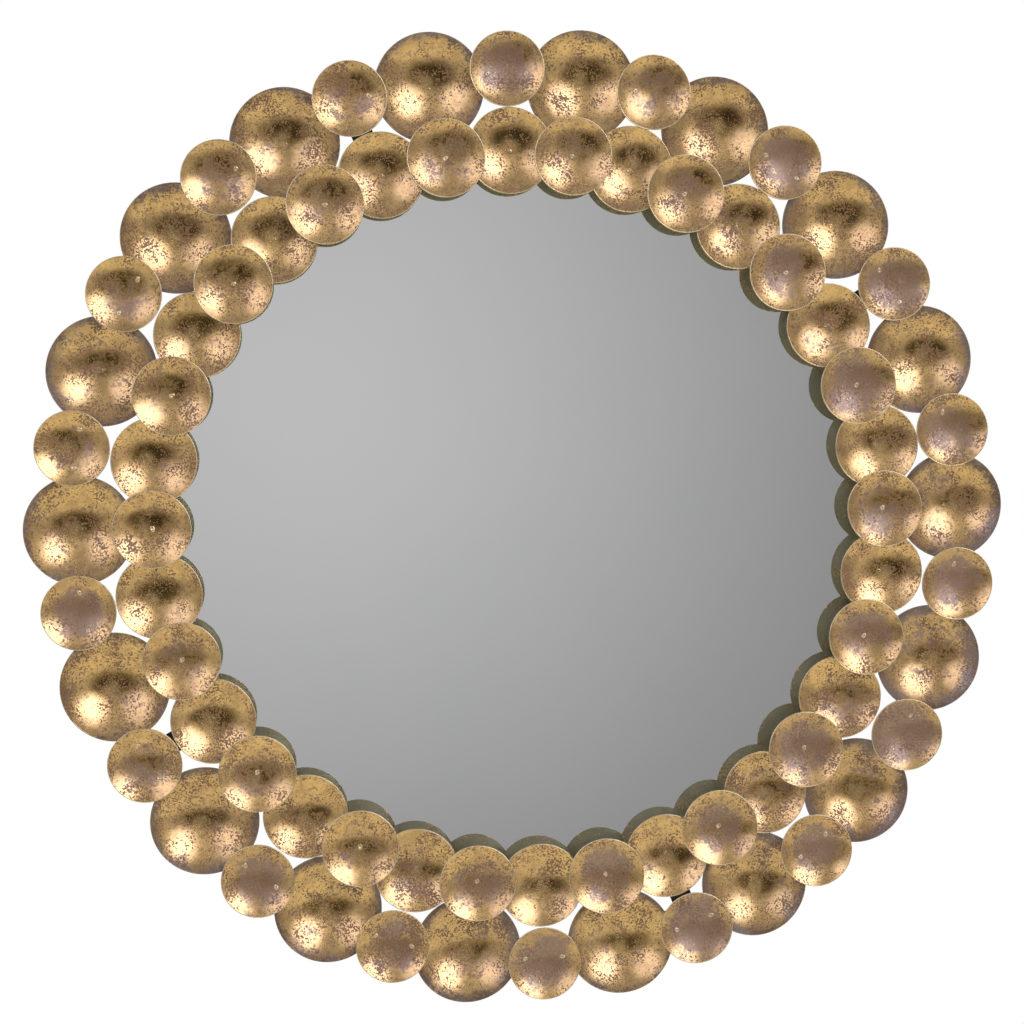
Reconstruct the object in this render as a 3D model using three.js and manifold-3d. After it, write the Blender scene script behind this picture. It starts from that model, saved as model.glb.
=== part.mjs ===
/**
 * Round wall mirror set in a wreath of 72 dished metal cups.
 *
 * Millimetres, +Z up. The glass faces -Y and the wall is the plane y = 0, so a
 * piece that stands L in front of the wall has y = -L: that distance is called
 * its lift. The origin is the middle of the wall plane, behind the glass.
 */
import * as THREE from 'three';
import Module from 'manifold-3d';
import { mergeVertices } from 'three/addons/utils/BufferGeometryUtils.js';

const wasm = await Module();
wasm.setup();

// ---------------------------------------------------------------- driving dimensions

const CUPS_PER_RING = 18;
const CUP_SHEET = 1.2;
const CUP_BANDS = 2;

// Each cup is a spherical dish: rim radius and the height of its rim over its back.
const LARGE_CUP = { radius: 50.7, height: 19, sides: 20 };
const MEDIUM_CUP = { radius: 39.8, height: 11.6, sides: 16 };
const OUTER_SMALL_CUP = { radius: 34.7, height: 9, sides: 16 };
const INNER_SMALL_CUP = { radius: 36.2, height: 9.2, sides: 16 };

// The wreath: the glass sets the medium cups' ring, and that ring the other three.
const MEDIUM_RING_INSET = 5.4; // from the glass's edge in to the medium cups' middles
const RIM_SPACE = 1.4; // in plan, between a medium rim and the two large rims beside it
const OUTER_SMALL_OFFSET = 15.7; // outwards from the line that joins two large cups
const INNER_SMALL_OFFSET = 3.6; // outwards from the line that joins two medium cups
const MEDIUM_FOOT = 2.8; // the short stud between the frame's lip and a medium cup's back

// The cups were set by eye: round the wreath they run ahead of an even pitch and fall
// behind it in waves, and the rings are a little out of round. A wave has a number of
// crests, one of them at the given angle clockwise from the top.
const PITCH_WAVES = [
  { crests: 2, swingDeg: 1.28, crestDeg: -67.4 },
  { crests: 4, swingDeg: 0.32, crestDeg: 12.8 },
  { crests: 5, swingDeg: 0.23, crestDeg: -7.7 },
  { crests: 6, swingDeg: 0.39, crestDeg: 6.5 },
];
const ROUNDNESS_WAVES = [
  { crests: 1, share: 0.0099, crestDeg: -158.4 },
  { crests: 2, share: 0.0089, crestDeg: -43.7 },
];

// Glass, board and the steel that carries them.
const RING_SIDES = 60;
const FIT_GAP = 0.3; // between pieces that touch, are clamped or are welded
const GLASS_RADIUS = 347.5;
const GLASS_THICKNESS = 4;
const BOARD_THICKNESS = 6;
const STEEL_THICKNESS = 3;
const FRAME_WALL = 4;
const FRAME_LIP = 22; // width of the lip that holds the glass and carries the medium cups
const OUTER_RING_WIDTH = 12;
const OUTER_RING_SHIFT = 3; // outwards from the large cups' middles, behind the small cups

// Four flat spokes tie the frame to the outer ring; one screw each holds the board.
const SPOKE_STATIONS = [3, 8, 12, 17];
const SPOKE_WIDTH = 20;
const SPOKE_LAP = 16; // over the board's edge
const SPOKE_TAIL = 4; // past the outer ring

// Round-head screws into the board.
const SCREW_SHANK_RADIUS = 2;
const SCREW_HEAD_RADIUS = 3.8;
const SCREW_HEAD_HEIGHT = 2;
const SCREW_BITE = 4.6; // depth into the board
const SCREW_CLEARANCE = 0.3;
const SCREW_SIDES = 12;

// Rubber bumpers that stand off the wall.
const BUMPER_HEIGHT = 8;
const BUMPER_RADIUS = 9;
const BUMPER_CIRCLE_RADIUS = 300;
const BUMPER_ANGLES_DEG = [45, 135, 225, 315];
const BUMPER_SIDES = 24;

// Two hangers on the board's back: a folded strap and a D-ring that swings in it.
const HANGER_SPREAD = 400;
const HANGER_HEIGHT = 180; // hinge line above the middle
const STRAP_WIDTH = 14;
const STRAP_THICKNESS = 1.2;
const STRAP_LENGTH = 14; // from the hinge line down to the strap's end
const STRAP_SCREW_DROP = 9; // from the hinge line down to the screw
const HINGE_CLEARANCE = 0.35;
const D_WIRE_RADIUS = 1.5;
const D_BEND_RADIUS = 13; // of the wire's centre line
const D_SIDE_LENGTH = 9;
const WIRE_SIDES = 8;
const BEND_STEPS = 8;

// Welds.
const WELD_RADIUS = 2.4;
const WELD_PROUD = 0.35; // the spot's mark on the small cup's face
const WELD_SIDES = 5;
const STUD_RADIUS = 2.5;

// ---------------------------------------------------------------- lifts off the wall

const boardBack = BUMPER_HEIGHT + FIT_GAP;
const boardFront = boardBack + BOARD_THICKNESS;
const glassBack = boardFront + FIT_GAP;
const glassFront = glassBack + GLASS_THICKNESS;
const lipBack = glassFront + FIT_GAP;
const lipFront = lipBack + STEEL_THICKNESS;
const spokeFront = boardBack - FIT_GAP;
const spokeBack = spokeFront - STEEL_THICKNESS;
const outerRingBack = boardBack;
const outerRingFront = outerRingBack + STEEL_THICKNESS;
const strapFront = boardBack - FIT_GAP;

// ---------------------------------------------------------------- radii

const frameInner = GLASS_RADIUS + FIT_GAP;
const frameOuter = frameInner + FRAME_WALL;
const lipInner = frameOuter - FRAME_LIP;
const boardRadius = GLASS_RADIUS;
const halfPitch = Math.PI / CUPS_PER_RING;
const mediumRingRadius = GLASS_RADIUS - MEDIUM_RING_INSET;
const touchingPlan = LARGE_CUP.radius + MEDIUM_CUP.radius + RIM_SPACE;
const largeRingRadius = mediumRingRadius * Math.cos(halfPitch)
  + Math.sqrt(touchingPlan ** 2 - (mediumRingRadius * Math.sin(halfPitch)) ** 2);
const outerSmallRingRadius = largeRingRadius * Math.cos(halfPitch) + OUTER_SMALL_OFFSET;
const innerSmallRingRadius = mediumRingRadius * Math.cos(halfPitch) + INNER_SMALL_OFFSET;
const outerRingMiddle = largeRingRadius + OUTER_RING_SHIFT;
const outerRingInner = outerRingMiddle - OUTER_RING_WIDTH / 2;
const outerRingOuter = outerRingMiddle + OUTER_RING_WIDTH / 2;
const spokeInner = boardRadius - SPOKE_LAP;
const spokeOuter = outerRingOuter + SPOKE_TAIL;
const spokeScrewRadius = boardRadius - SPOKE_LAP / 2;

// ---------------------------------------------------------------- finishes

const finish = (color, roughness, metalness) =>
  new THREE.MeshStandardMaterial({ color, roughness, metalness });

const FINISHES = {
  gilt: finish(0x9a7a42, 0.4, 0.85),
  mirror: finish(0xc8c8ca, 0.05, 1),
  board: finish(0x8a6a48, 0.85, 0),
  blackSteel: finish(0x1d1b19, 0.6, 0.6),
  steel: finish(0xa8a8aa, 0.35, 1),
  rubber: finish(0x222222, 0.9, 0),
};

// ---------------------------------------------------------------- solids

const signedVolume = (xyz, triangles) => {
  let total = 0;
  const corner = [new THREE.Vector3(), new THREE.Vector3(), new THREE.Vector3()];
  for (let i = 0; i < triangles.length; i += 3) {
    corner.forEach((v, j) => v.fromArray(xyz, triangles[i + j] * 3));
    total += corner[0].dot(corner[1].cross(corner[2])) / 6;
  }
  return total;
};

/** A closed solid from a three.js geometry, with its faces pointing out. */
function solidOf(geometry) {
  const bare = geometry.clone();
  bare.deleteAttribute('normal');
  bare.deleteAttribute('uv');
  const merged = mergeVertices(bare);
  const xyz = merged.getAttribute('position').array;
  const index = merged.getIndex().array;
  const triangles = [];
  for (let i = 0; i < index.length; i += 3) {
    const [a, b, c] = index.slice(i, i + 3);
    if (a !== b && b !== c && c !== a) {
      triangles.push(a, b, c);
    }
  }
  if (signedVolume(xyz, triangles) < 0) {
    triangles.reverse();
  }
  const mesh = new wasm.Mesh({
    numProp: 3,
    vertProperties: new Float32Array(xyz),
    triVerts: new Uint32Array(triangles),
  });
  return new wasm.Manifold(mesh);
}

const joined = (geometries) =>
  geometries.map(solidOf).reduce((whole, next) => whole.add(next));

const cutBy = (geometry, holes) =>
  holes.map(solidOf).reduce((whole, hole) => whole.subtract(hole), solidOf(geometry));

function geometryOf(solid) {
  const mesh = solid.getMesh();
  const geometry = new THREE.BufferGeometry();
  const xyz = new THREE.BufferAttribute(new Float32Array(mesh.vertProperties), 3);
  geometry.setAttribute('position', xyz);
  geometry.setIndex(new THREE.BufferAttribute(new Uint32Array(mesh.triVerts), 1));
  geometry.computeVertexNormals();
  return geometry;
}

const mirror = new THREE.Group();

/** Adds one named piece; place gives its x, lift and z, and turn its angle clockwise from +Z. */
function addPiece(name, solid, material, { x = 0, lift = 0, z = 0, turn = 0 } = {}) {
  const mesh = new THREE.Mesh(geometryOf(solid), material);
  mesh.name = name;
  mesh.position.set(x, -lift, z);
  mesh.rotation.y = turn;
  mirror.add(mesh);
}

/** A turned body about the Y axis; the outline's points are [radius, lift] and close. */
const turned = (outline, sides) =>
  new THREE.LatheGeometry(outline.map(([r, lift]) => new THREE.Vector2(r, -lift)), sides);

/** A round bar along the lift, from one lift to another, at x and z. */
function post(radius, fromLift, toLift, sides, x = 0, z = 0) {
  const bar = new THREE.CylinderGeometry(radius, radius, toLift - fromLift, sides);
  return bar.translate(x, -(fromLift + toLift) / 2, z);
}

/** A flat ring band between two radii and two lifts. */
const band = (inner, outer, fromLift, toLift) => turned(
  [[inner, fromLift], [outer, fromLift], [outer, toLift], [inner, toLift], [inner, fromLift]],
  RING_SIDES,
);

// ---------------------------------------------------------------- the wreath's places

const toRadians = THREE.MathUtils.degToRad;

/** The sum of some waves at an angle round the wreath, each as high as its size. */
const sumOfWaves = (waves, sizeOf, around) => waves.reduce(
  (sum, wave) => sum + sizeOf(wave) * Math.cos(wave.crests * (around - toRadians(wave.crestDeg))),
  0,
);

/** The angle of a station; halves of a station lie between two stations. */
function angleAt(station) {
  const even = station * 2 * halfPitch;
  return even + sumOfWaves(PITCH_WAVES, (wave) => toRadians(wave.swingDeg), even);
}

/** Where a cup stands on a ring of the wreath. */
function placeOn(ringRadius, station) {
  const outOfRound = sumOfWaves(ROUNDNESS_WAVES, (wave) => wave.share, station * 2 * halfPitch);
  const radius = ringRadius * (1 + outOfRound);
  return { x: radius * Math.sin(angleAt(station)), z: radius * Math.cos(angleAt(station)) };
}

const planDistance = (a, b) => Math.hypot(a.x - b.x, a.z - b.z);

const stations = Array.from({ length: CUPS_PER_RING }, (_, k) => k);
const largePlaces = stations.map((k) => placeOn(largeRingRadius, k - 0.5));
const mediumPlaces = stations.map((k) => placeOn(mediumRingRadius, k));
const outerSmallPlaces = stations.map((k) => placeOn(outerSmallRingRadius, k));
const innerSmallPlaces = stations.map((k) => placeOn(innerSmallRingRadius, k - 0.5));

// ---------------------------------------------------------------- cups

/** One face of a cup as [radius, lift] points from its middle to its rim. */
function cupFace(cup, sheet) {
  const sphere = (cup.radius ** 2 + cup.height ** 2) / (2 * cup.height);
  const face = sphere - sheet;
  const rimAngle = Math.acos((sphere - cup.height) / face);
  return Array.from({ length: CUP_BANDS + 1 }, (_, i) => {
    const angle = (rimAngle * i) / CUP_BANDS;
    return [i === 0 ? 0 : face * Math.sin(angle), sphere - face * Math.cos(angle)];
  });
}

/** A cup's shell with the middle of its back at the given lift, x and z. */
function cupShell(cup, lift = 0, x = 0, z = 0) {
  const outline = [...cupFace(cup, 0), ...cupFace(cup, CUP_SHEET).reverse()];
  return turned(outline, cup.sides).translate(x, -lift, z);
}

/** How far a cup's back rises over its middle at a distance from its axis. */
function backRise(cup, distance) {
  const face = cupFace(cup, 0);
  const outer = face.findIndex(([r]) => r >= distance);
  if (outer === -1) {
    return cup.height;
  }
  const [r1, h1] = face[outer];
  const [r0, h0] = face[Math.max(outer - 1, 0)];
  return r1 === r0 ? h1 : h0 + ((h1 - h0) * (distance - r0)) / (r1 - r0);
}

const largeLift = outerRingFront + FIT_GAP;
const mediumLift = lipFront + FIT_GAP + MEDIUM_FOOT;
const behind = [
  { rim: largeLift + LARGE_CUP.height, cup: LARGE_CUP, places: largePlaces },
  { rim: mediumLift + MEDIUM_CUP.height, cup: MEDIUM_CUP, places: mediumPlaces },
];

/** The lift of a small cup whose back rests on the highest rim of the cups behind it. */
function seatedLift(cup, place) {
  const lifts = behind.flatMap(({ rim, cup: under, places: around }) =>
    around
      .map((other) => Math.max(planDistance(place, other) - under.radius, 0))
      .filter((reach) => reach < cup.radius)
      .map((reach) => rim + FIT_GAP - backRise(cup, reach)));
  return Math.max(mediumLift, ...lifts);
}

/** The spot weld where a small cup's back meets the rim of the cup behind it. */
function spotWeld(back, small) {
  const span = planDistance(back, small);
  const toRim = back.cup.radius - CUP_SHEET / 2;
  const x = ((small.x - back.x) * toRim) / span;
  const z = ((small.z - back.z) * toRim) / span;
  const seat = small.lift + backRise(small.cup, span - toRim);
  const rim = back.lift + back.cup.height;
  return post(WELD_RADIUS, rim - WELD_RADIUS, seat + CUP_SHEET + WELD_PROUD, WELD_SIDES, x, z);
}

/** A cup and the small cup welded to its rim, as one piece at the back cup's axis. */
function addPair(name, back, small, extras = []) {
  const atBack = cupShell(back.cup, back.lift);
  const atSmall = cupShell(small.cup, small.lift, small.x - back.x, small.z - back.z);
  const weld = spotWeld(back, small);
  const solid = joined([atBack, atSmall, weld, ...extras]);
  addPiece(name, solid, FINISHES.gilt, { x: back.x, z: back.z });
}

const number = (k) => String(k + 1).padStart(2, '0');

for (const k of stations) {
  const large = { cup: LARGE_CUP, lift: largeLift, ...largePlaces[k] };
  const smallLift = seatedLift(OUTER_SMALL_CUP, outerSmallPlaces[k]);
  const small = { cup: OUTER_SMALL_CUP, lift: smallLift, ...outerSmallPlaces[k] };
  addPair(`outer_cup_pair_${number(k)}`, large, small);
}

for (const k of stations) {
  const medium = { cup: MEDIUM_CUP, lift: mediumLift, ...mediumPlaces[k] };
  const smallLift = seatedLift(INNER_SMALL_CUP, innerSmallPlaces[k]);
  const small = { cup: INNER_SMALL_CUP, lift: smallLift, ...innerSmallPlaces[k] };
  // The stud carries the small cup from the frame's lip, between two medium cups.
  const stud = post(
    STUD_RADIUS,
    lipFront + FIT_GAP,
    smallLift + CUP_SHEET + WELD_PROUD,
    WELD_SIDES,
    small.x - medium.x,
    small.z - medium.z,
  );
  const footTop = mediumLift + CUP_SHEET / 2;
  const foot = post(STUD_RADIUS, lipFront + FIT_GAP, footTop, WELD_SIDES, 0, 0);
  addPair(`inner_cup_pair_${number(k)}`, medium, small, [stud, foot]);
}

// ---------------------------------------------------------------- glass, board and frame

const spokePlaces = SPOKE_STATIONS.map(angleAt).map((turn) => ({
  x: spokeScrewRadius * Math.sin(turn),
  z: spokeScrewRadius * Math.cos(turn),
  turn,
}));
const hangerSides = [
  { side: 'left', x: -HANGER_SPREAD / 2 },
  { side: 'right', x: HANGER_SPREAD / 2 },
];
const screwHole = (x, z, fromLift, toLift) =>
  post(SCREW_SHANK_RADIUS + SCREW_CLEARANCE, fromLift, toLift, SCREW_SIDES, x, z);

const glass = turned(
  [[0, glassBack], [GLASS_RADIUS, glassBack], [GLASS_RADIUS, glassFront], [0, glassFront]],
  RING_SIDES,
);
addPiece('mirror_glass', solidOf(glass), FINISHES.mirror);

/** The board, with a pilot hole for each screw. */
function backingBoard() {
  const disc = turned(
    [[0, boardBack], [boardRadius, boardBack], [boardRadius, boardFront], [0, boardFront]],
    RING_SIDES,
  );
  const hangerScrews = hangerSides.map(({ x }) => ({ x, z: HANGER_HEIGHT - STRAP_SCREW_DROP }));
  const holes = [...spokePlaces, ...hangerScrews].map(({ x, z }) =>
    screwHole(x, z, boardBack - 1, boardFront + 1));
  return cutBy(disc, holes);
}
addPiece('backing_board', backingBoard(), FINISHES.board);

/** The frame: a hoop round the glass and board, with a lip turned in over the glass. */
const frameSection = [
  [frameInner, boardBack],
  [frameOuter, boardBack],
  [frameOuter, lipFront],
  [lipInner, lipFront],
  [lipInner, lipBack],
  [frameInner, lipBack],
  [frameInner, boardBack],
];
addPiece('mirror_frame', solidOf(turned(frameSection, RING_SIDES)), FINISHES.blackSteel);

const outerRing = band(outerRingInner, outerRingOuter, outerRingBack, outerRingFront);
addPiece('outer_ring', solidOf(outerRing), FINISHES.blackSteel);

// ---------------------------------------------------------------- spokes, screws, bumpers

/** A screw whose head lies behind the seat's lift, with its shank run into the board. */
function screw(seatLift) {
  const headBack = seatLift - SCREW_HEAD_HEIGHT;
  const head = post(SCREW_HEAD_RADIUS, headBack, seatLift, SCREW_SIDES);
  const shankBack = seatLift - SCREW_HEAD_HEIGHT / 2;
  return joined([head, post(SCREW_SHANK_RADIUS, shankBack, boardBack + SCREW_BITE, SCREW_SIDES)]);
}

/** A spoke that runs along Z, outwards from the hole for its screw at the origin. */
function spoke() {
  const length = spokeOuter - spokeInner;
  const bar = new THREE.BoxGeometry(SPOKE_WIDTH, STEEL_THICKNESS, length);
  bar.translate(0, -(spokeBack + spokeFront) / 2, (spokeInner + spokeOuter) / 2 - spokeScrewRadius);
  return cutBy(bar, [screwHole(0, 0, spokeBack - 1, spokeFront + 1)]);
}

spokePlaces.forEach(({ x, z, turn }, i) => {
  addPiece(`spoke_${i + 1}`, spoke(), FINISHES.blackSteel, { x, z, turn });
  addPiece(`spoke_screw_${i + 1}`, screw(spokeBack - FIT_GAP), FINISHES.steel, { x, z });
});

BUMPER_ANGLES_DEG.map(toRadians).forEach((angle, i) => {
  const x = BUMPER_CIRCLE_RADIUS * Math.sin(angle);
  const z = BUMPER_CIRCLE_RADIUS * Math.cos(angle);
  const bumper = solidOf(post(BUMPER_RADIUS, 0, BUMPER_HEIGHT, BUMPER_SIDES));
  addPiece(`wall_bumper_${i + 1}`, bumper, FINISHES.rubber, { x, z });
});

// ---------------------------------------------------------------- hangers

const barrelInner = D_WIRE_RADIUS + HINGE_CLEARANCE;
const barrelOuter = barrelInner + STRAP_THICKNESS;
const hingeLift = strapFront - barrelOuter;

/** A tube along X, centred on the origin. */
function tubeAlongX(inner, outer, length, sides) {
  const outline = new THREE.Shape().absarc(0, 0, outer, 0, 2 * Math.PI);
  outline.holes.push(new THREE.Path().absarc(0, 0, inner, 0, 2 * Math.PI));
  const tube = new THREE.ExtrudeGeometry(outline, {
    depth: length,
    bevelEnabled: false,
    curveSegments: sides,
  });
  return tube.translate(0, 0, -length / 2).rotateY(Math.PI / 2);
}

/** The strap: a plate against the board, folded at its top into the D-ring's barrel. */
function strap() {
  const plate = new THREE.BoxGeometry(STRAP_WIDTH, STRAP_THICKNESS, STRAP_LENGTH);
  plate.translate(0, -(strapFront - STRAP_THICKNESS / 2), -STRAP_LENGTH / 2);
  const barrel = tubeAlongX(barrelInner, barrelOuter, STRAP_WIDTH, WIRE_SIDES);
  barrel.translate(0, -hingeLift, 0);
  const bore = new THREE.CylinderGeometry(barrelInner, barrelInner, STRAP_WIDTH + 2, WIRE_SIDES * 2);
  bore.rotateZ(Math.PI / 2).translate(0, -hingeLift, 0);
  const hole = screwHole(0, -STRAP_SCREW_DROP, strapFront - STRAP_THICKNESS - 1, strapFront + 1);
  return joined([plate, barrel]).subtract(solidOf(bore)).subtract(solidOf(hole));
}

/** The D-ring hanging down, with the middle of its bend at the origin. */
function dRing() {
  const bend = new THREE.TorusGeometry(D_BEND_RADIUS, D_WIRE_RADIUS, WIRE_SIDES, 2 * BEND_STEPS);
  bend.rotateX(Math.PI / 2);
  const reach = D_BEND_RADIUS + 2 * D_WIRE_RADIUS;
  const lowerHalf = new THREE.BoxGeometry(2 * reach, 4 * D_WIRE_RADIUS, reach);
  lowerHalf.translate(0, 0, -reach / 2);
  const bow = solidOf(bend).intersect(solidOf(lowerHalf));
  const side = (x) => new THREE.CylinderGeometry(D_WIRE_RADIUS, D_WIRE_RADIUS, D_SIDE_LENGTH, WIRE_SIDES)
    .rotateX(Math.PI / 2).translate(x, 0, D_SIDE_LENGTH / 2);
  const legLength = 2 * (D_BEND_RADIUS + D_WIRE_RADIUS);
  const leg = new THREE.CylinderGeometry(D_WIRE_RADIUS, D_WIRE_RADIUS, legLength, WIRE_SIDES)
    .rotateZ(Math.PI / 2).translate(0, 0, D_SIDE_LENGTH);
  return bow.add(joined([side(-D_BEND_RADIUS), side(D_BEND_RADIUS), leg]));
}

for (const { side, x } of hangerSides) {
  addPiece(`hanger_strap_${side}`, strap(), FINISHES.steel, { x, z: HANGER_HEIGHT });
  const bend = { x, lift: hingeLift, z: HANGER_HEIGHT - D_SIDE_LENGTH };
  addPiece(`d_ring_${side}`, dRing(), FINISHES.steel, bend);
  const screwPlace = { x, z: HANGER_HEIGHT - STRAP_SCREW_DROP };
  const seat = strapFront - STRAP_THICKNESS - FIT_GAP;
  addPiece(`hanger_screw_${side}`, screw(seat), FINISHES.steel, screwPlace);
}

export default mirror;
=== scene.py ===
"""The dressed round mirror: flat glass in a wreath of 72 gilt dished cups, and its studio.

Metres, +Z up. The glass faces -Y and the wall is the plane y = 0, so a piece that stands
L in front of the wall has y = -L: that distance is called its lift. Angles round the
wreath run clockwise from the top, as seen from the front.
"""

from __future__ import annotations

import logging
import math
from dataclasses import dataclass, field
from enum import Enum

import bpy
import numpy as np
from mathutils import Matrix, Vector

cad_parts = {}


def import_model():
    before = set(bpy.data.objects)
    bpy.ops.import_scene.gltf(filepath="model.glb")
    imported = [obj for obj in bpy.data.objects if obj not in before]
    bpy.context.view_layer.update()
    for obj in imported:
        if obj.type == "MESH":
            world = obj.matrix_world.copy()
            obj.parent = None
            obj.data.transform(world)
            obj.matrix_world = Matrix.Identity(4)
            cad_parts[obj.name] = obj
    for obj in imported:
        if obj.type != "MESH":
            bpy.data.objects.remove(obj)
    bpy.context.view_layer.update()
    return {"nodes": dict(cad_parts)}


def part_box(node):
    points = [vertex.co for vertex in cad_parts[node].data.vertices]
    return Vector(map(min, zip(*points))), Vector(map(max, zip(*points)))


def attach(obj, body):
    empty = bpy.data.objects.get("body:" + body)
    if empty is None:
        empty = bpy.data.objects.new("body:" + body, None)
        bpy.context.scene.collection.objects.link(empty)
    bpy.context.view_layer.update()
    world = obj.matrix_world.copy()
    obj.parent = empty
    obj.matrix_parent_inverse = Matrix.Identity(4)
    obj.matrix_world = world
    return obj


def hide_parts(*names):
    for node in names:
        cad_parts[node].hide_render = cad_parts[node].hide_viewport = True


log = logging.getLogger("mirror")

Colour = tuple[float, float, float]
Point = tuple[float, float, float]
FIXED_BODY = "mirror"


# ---------------------------------------------------------------- shader maths


class Signal:
    """One output socket of a node tree, with the arithmetic that a pattern needs."""

    def __init__(self, bench: Bench, socket: bpy.types.NodeSocket) -> None:
        """Keeps the socket and the bench that it is on."""
        self.bench = bench
        self.socket = socket

    def _math(self, operation: str, *terms: Signal | float) -> Signal:
        """A Math node of the given operation on the given terms."""
        return self.bench.out(
            "ShaderNodeMath", 0, {"operation": operation}, dict(enumerate(terms))
        )

    def __add__(self, other: Signal | float) -> Signal:
        """The sum of the two."""
        return self._math("ADD", self, other)

    def __sub__(self, other: Signal | float) -> Signal:
        """This less the other."""
        return self._math("SUBTRACT", self, other)

    def __rsub__(self, other: float) -> Signal:
        """The number less this."""
        return self._math("SUBTRACT", other, self)

    def __mul__(self, other: Signal | float) -> Signal:
        """The product of the two."""
        return self._math("MULTIPLY", self, other)

    def __truediv__(self, other: Signal | float) -> Signal:
        """This over the other."""
        return self._math("DIVIDE", self, other)

    def __neg__(self) -> Signal:
        """This with its sign turned."""
        return self._math("MULTIPLY", self, -1.0)

    __radd__ = __add__
    __rmul__ = __mul__

    def at_most(self, other: Signal | float) -> Signal:
        """The lesser of the two."""
        return self._math("MINIMUM", self, other)

    def at_least(self, other: Signal | float) -> Signal:
        """The greater of the two."""
        return self._math("MAXIMUM", self, other)

    def ease(self, low: float, high: float) -> Signal:
        """0 below low and 1 above high with a smooth step between, or the reverse."""
        settings = {"interpolation_type": "SMOOTHSTEP"}
        inputs = {"Value": self, "From Min": low, "From Max": high}
        return self.bench.out("ShaderNodeMapRange", "Result", settings, inputs)


class Bench:
    """The node tree of one material or world, and the calls that lay it out."""

    def __init__(self, owner: bpy.types.Material | bpy.types.World) -> None:
        """Empties the owner's node tree and takes it over."""
        owner.use_nodes = True
        self.tree = owner.node_tree
        self.tree.nodes.clear()

    def node(
        self, kind: str, settings: dict[str, object], inputs: dict[str | int, object]
    ) -> bpy.types.Node:
        """A new node with its settings made first, and then its sockets.

        Args:
            kind: The node's type.
            settings: Its properties.
            inputs: A value or a signal for each socket, by name or number.

        Returns:
            The node.
        """
        made = self.tree.nodes.new(kind)
        for name, value in settings.items():
            setattr(made, name, value)
        for key, value in inputs.items():
            socket = made.inputs[key]
            if isinstance(value, Signal):
                self.tree.links.new(value.socket, socket)
            elif isinstance(value, tuple) and len(value) == 3 and socket.type == "RGBA":
                socket.default_value = (*value, 1.0)
            else:
                socket.default_value = value
        return made

    def out(self, kind: str, output: str | int, settings: dict, inputs: dict) -> Signal:
        """The named output of a new node."""
        return Signal(self, self.node(kind, settings, inputs).outputs[output])

    def place(self) -> Signal:
        """The surface's place in the object's own frame, which is the row frame."""
        return self.out("ShaderNodeTexCoord", "Object", {}, {})

    def mark(self, name: str) -> Signal:
        """A number that the mesh keeps at each of its vertices."""
        return self.out("ShaderNodeAttribute", "Fac", {"attribute_name": name}, {})

    def noise(
        self, where: Signal, scale: float, detail: float = 2.0, rough: float = 0.5
    ) -> Signal:
        """Even noise from 0 to 1 whose spots are about 1 / scale across."""
        inputs = {"Vector": where, "Scale": scale, "Detail": detail, "Roughness": rough}
        return self.out("ShaderNodeTexNoise", "Fac", {}, inputs)

    def apart(self, first: Signal, second: Point) -> Signal:
        """The distance between two points."""
        settings = {"operation": "DISTANCE"}
        return self.out("ShaderNodeVectorMath", "Value", settings, {0: first, 1: second})

    def cells(self, where: Signal, scale: float) -> Signal:
        """The distance to the nearest of some scattered points, in spacings."""
        inputs = {"Vector": where, "Scale": scale}
        return self.out("ShaderNodeTexVoronoi", "Distance", {}, inputs)

    def blend(self, share: Signal | float, first: object, second: object) -> Signal:
        """The first colour, with the second over it by the share."""
        inputs = {0: share, 6: first, 7: second}
        return self.out("ShaderNodeMix", 2, {"data_type": "RGBA"}, inputs)

    def bump(self, height: Signal, distance: float, strength: float) -> Signal:
        """A normal that follows the height, which is the distance where it is 1."""
        inputs = {"Height": height, "Distance": distance, "Strength": strength}
        return self.out("ShaderNodeBump", "Normal", {}, inputs)

    def finish_surface(self, **sockets: object) -> None:
        """Ends a material in a Principled shader whose sockets are given by name."""
        inputs = {name.replace("_", " "): value for name, value in sockets.items()}
        shader = self.out("ShaderNodeBsdfPrincipled", "BSDF", {}, inputs)
        self.node("ShaderNodeOutputMaterial", {}, {"Surface": shader})


class Finish:
    """A finish of the object: it makes its material once and hands it out."""

    name = "finish"
    slot = ""

    def lay_out(self, bench: Bench) -> None:
        """Builds the node tree."""
        raise NotImplementedError

    def material(self) -> bpy.types.Material:
        """The finish's material, made at the first call."""
        kept = bpy.data.materials.get(self.name)
        if kept is None:
            kept = bpy.data.materials.new(self.name)
            self.lay_out(Bench(kept))
        return kept


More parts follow.
